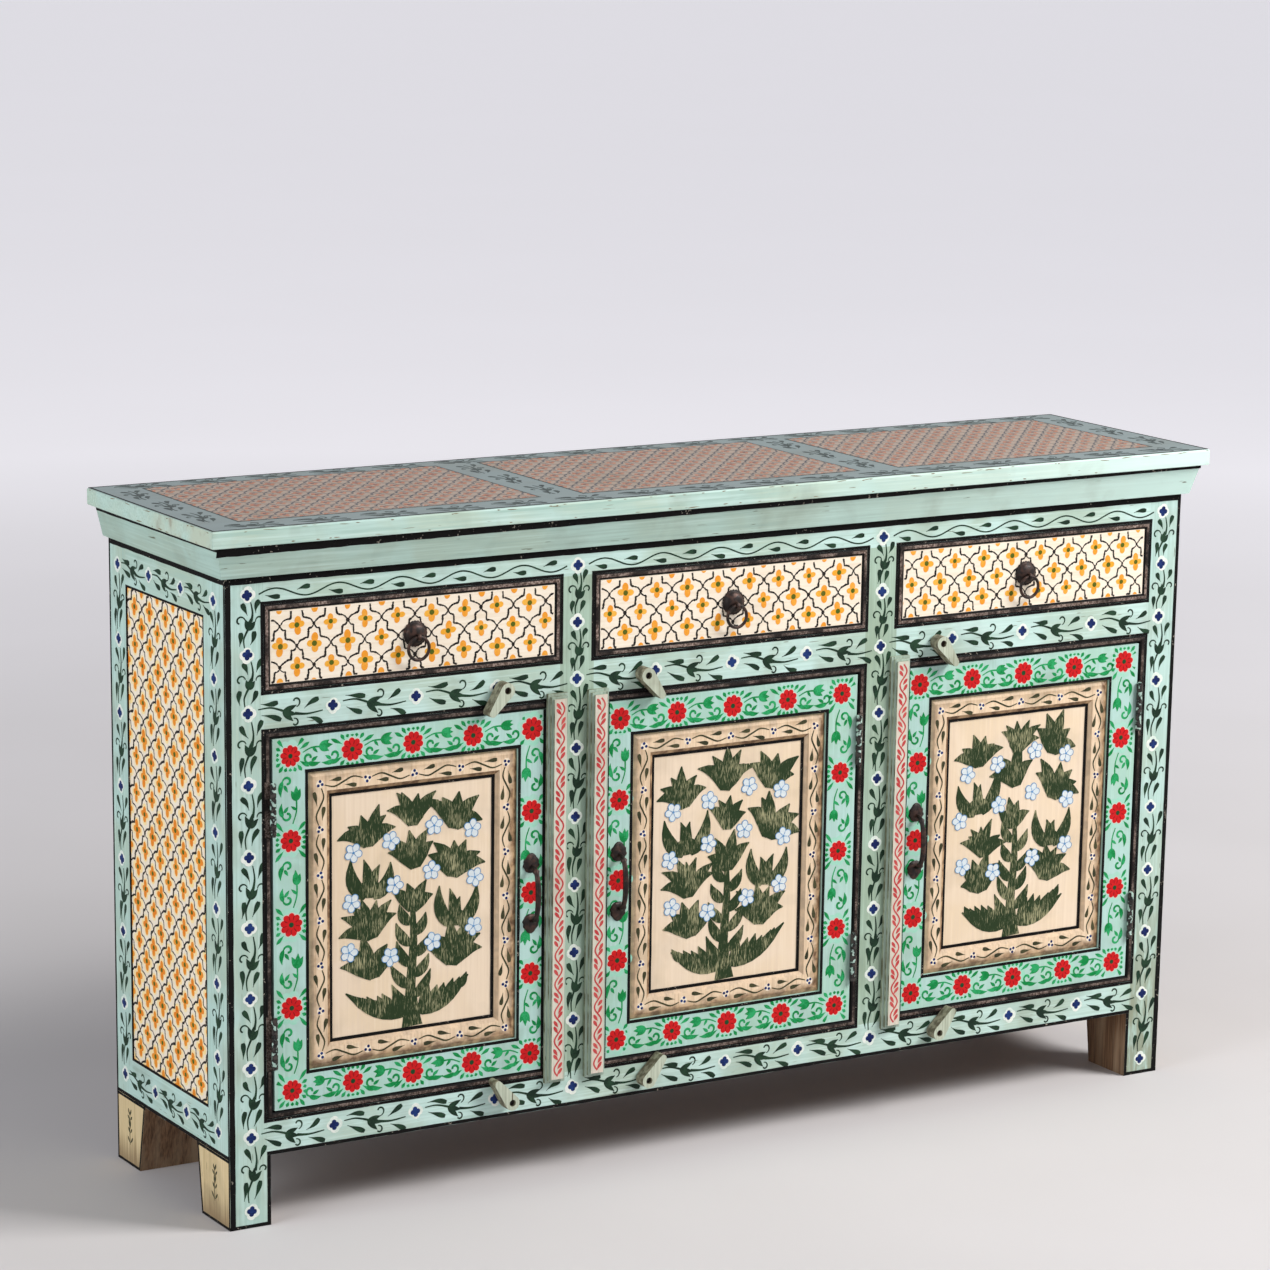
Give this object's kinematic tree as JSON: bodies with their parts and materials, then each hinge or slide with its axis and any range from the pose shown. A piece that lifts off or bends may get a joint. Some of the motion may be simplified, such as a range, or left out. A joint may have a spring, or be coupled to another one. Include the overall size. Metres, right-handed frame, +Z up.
{
  "type": "painted sideboard",
  "caption": "Long low wooden sideboard with drawers over hinged cupboard doors, turn-button latches and plank legs, painted all over with traditional flower and lattice ornament.",
  "frame": {"origin": "on the floor under the middle of the top board", "axes": "+Z up, +X to the right of a person facing the front, the front faces -Y"},
  "size_m": [1.52, 0.373, 0.9],
  "materials": {
    "painted_mint": "hand-painted sea green with brush streaks and ornament",
    "painted_top": "hand-painted top with three lattice fields, worn and waxed",
    "painted_bead": "black paint worn to brown along the crest",
    "painted_door": "pale sea green paint with red flowers and green leaves",
    "painted_cream": "cream paint with fine vine and plant ornament",
    "painted_strip": "grey-green steps and a pale band with a red vine",
    "painted_ivory": "ivory paint with a black lattice and orange flowers",
    "latch_wood": "thin grey-green paint over wood",
    "bare_wood": "bare aged hardwood",
    "iron": "dark brown-black, waxed"
  },
  "bodies": {
    "carcass": {"top_board": "painted_top", "cornice_front": "painted_mint", "cornice_left": "painted_mint", "cornice_right": "painted_mint", "post_front_left": "painted_mint", "post_front_right": "painted_mint", "post_back_left": "painted_mint", "post_back_right": "painted_mint", "top_rail": "painted_mint", "middle_rails": "painted_mint", "bottom_rail": "painted_mint", "mullions": "painted_mint", "side_rails_left": "painted_mint", "side_rails_right": "painted_mint", "side_panel_left": "painted_ivory", "side_panel_right": "painted_ivory", "back_panel": "bare_wood", "bottom_board": "bare_wood", "drawer_deck": "bare_wood", "partitions": "bare_wood", "drawer_runners": "bare_wood", "opening_beads": "painted_bead", "hinge_frame_leaves": "iron", "latch_screws": "iron"},
    "door_1": {"door_1_frame": "painted_door", "door_1_panel": "painted_cream", "door_1_moulding": "painted_cream", "door_1_cover_strip": "painted_strip", "door_1_handle": "iron", "door_1_hinge_leaves": "iron"},
    "drawer_1": {"drawer_1_front": "painted_ivory", "drawer_1_box": "bare_wood", "drawer_1_pull": "iron"},
    "ring_1": {"drawer_1_ring": "iron"},
    "latch_top_1": {"latch_top_1": "latch_wood"},
    "latch_bottom_1": {"latch_bottom_1": "latch_wood"},
    "door_2": {"door_2_frame": "painted_door", "door_2_panel": "painted_cream", "door_2_moulding": "painted_cream", "door_2_cover_strip": "painted_strip", "door_2_handle": "iron", "door_2_hinge_leaves": "iron"},
    "drawer_2": {"drawer_2_front": "painted_ivory", "drawer_2_box": "bare_wood", "drawer_2_pull": "iron"},
    "ring_2": {"drawer_2_ring": "iron"},
    "latch_top_2": {"latch_top_2": "latch_wood"},
    "latch_bottom_2": {"latch_bottom_2": "latch_wood"},
    "door_3": {"door_3_frame": "painted_door", "door_3_panel": "painted_cream", "door_3_moulding": "painted_cream", "door_3_cover_strip": "painted_strip", "door_3_handle": "iron", "door_3_hinge_leaves": "iron"},
    "drawer_3": {"drawer_3_front": "painted_ivory", "drawer_3_box": "bare_wood", "drawer_3_pull": "iron"},
    "ring_3": {"drawer_3_ring": "iron"},
    "latch_top_3": {"latch_top_3": "latch_wood"},
    "latch_bottom_3": {"latch_bottom_3": "latch_wood"}
  },
  "joints": [
    {"name": "door_1_swing", "type": "hinge", "parent": "carcass", "child": "door_1", "pos_m": [-0.6705, -0.1662, 0.39], "axis": [0, 0, -1], "range_deg": [0, 110]},
    {"name": "drawer_1_slide", "type": "slide", "parent": "carcass", "child": "drawer_1", "axis": [0, -1, 0], "range_m": [0, 0.23]},
    {"name": "ring_1_swing", "type": "hinge", "parent": "drawer_1", "child": "ring_1", "pos_m": [-0.47, -0.172, 0.7425], "axis": [-1, 0, 0], "range_deg": [0, 90]},
    {"name": "latch_top_1_turn", "type": "hinge", "parent": "carcass", "child": "latch_top_1", "pos_m": [-0.347, -0.1637, 0.664], "axis": [0, 1, 0], "range_deg": [-37.41, 52]},
    {"name": "latch_bottom_1_turn", "type": "hinge", "parent": "carcass", "child": "latch_bottom_1", "pos_m": [-0.336, -0.1637, 0.116], "axis": [0, -1, 0], "range_deg": [-37.41, 52]},
    {"name": "door_2_swing", "type": "hinge", "parent": "carcass", "child": "door_2", "pos_m": [0.2005, -0.1662, 0.39], "axis": [0, 0, 1], "range_deg": [0, 110]},
    {"name": "drawer_2_slide", "type": "slide", "parent": "carcass", "child": "drawer_2", "axis": [0, -1, 0], "range_m": [0, 0.23]},
    {"name": "ring_2_swing", "type": "hinge", "parent": "drawer_2", "child": "ring_2", "pos_m": [0, -0.172, 0.7425], "axis": [-1, 0, 0], "range_deg": [0, 90]},
    {"name": "latch_top_2_turn", "type": "hinge", "parent": "carcass", "child": "latch_top_2", "pos_m": [-0.139, -0.1637, 0.664], "axis": [0, -1, 0], "range_deg": [-37.41, 52]},
    {"name": "latch_bottom_2_turn", "type": "hinge", "parent": "carcass", "child": "latch_bottom_2", "pos_m": [-0.129, -0.1637, 0.116], "axis": [0, 1, 0], "range_deg": [-37.41, 52]},
    {"name": "door_3_swing", "type": "hinge", "parent": "carcass", "child": "door_3", "pos_m": [0.6705, -0.1662, 0.39], "axis": [0, 0, 1], "range_deg": [0, 110]},
    {"name": "drawer_3_slide", "type": "slide", "parent": "carcass", "child": "drawer_3", "axis": [0, -1, 0], "range_m": [0, 0.23]},
    {"name": "ring_3_swing", "type": "hinge", "parent": "drawer_3", "child": "ring_3", "pos_m": [0.47, -0.172, 0.7425], "axis": [-1, 0, 0], "range_deg": [0, 90]},
    {"name": "latch_top_3_turn", "type": "hinge", "parent": "carcass", "child": "latch_top_3", "pos_m": [0.324, -0.1637, 0.664], "axis": [0, -1, 0], "range_deg": [-37.41, 52]},
    {"name": "latch_bottom_3_turn", "type": "hinge", "parent": "carcass", "child": "latch_bottom_3", "pos_m": [0.338, -0.1637, 0.116], "axis": [0, 1, 0], "range_deg": [-37.41, 52]}
  ]
}
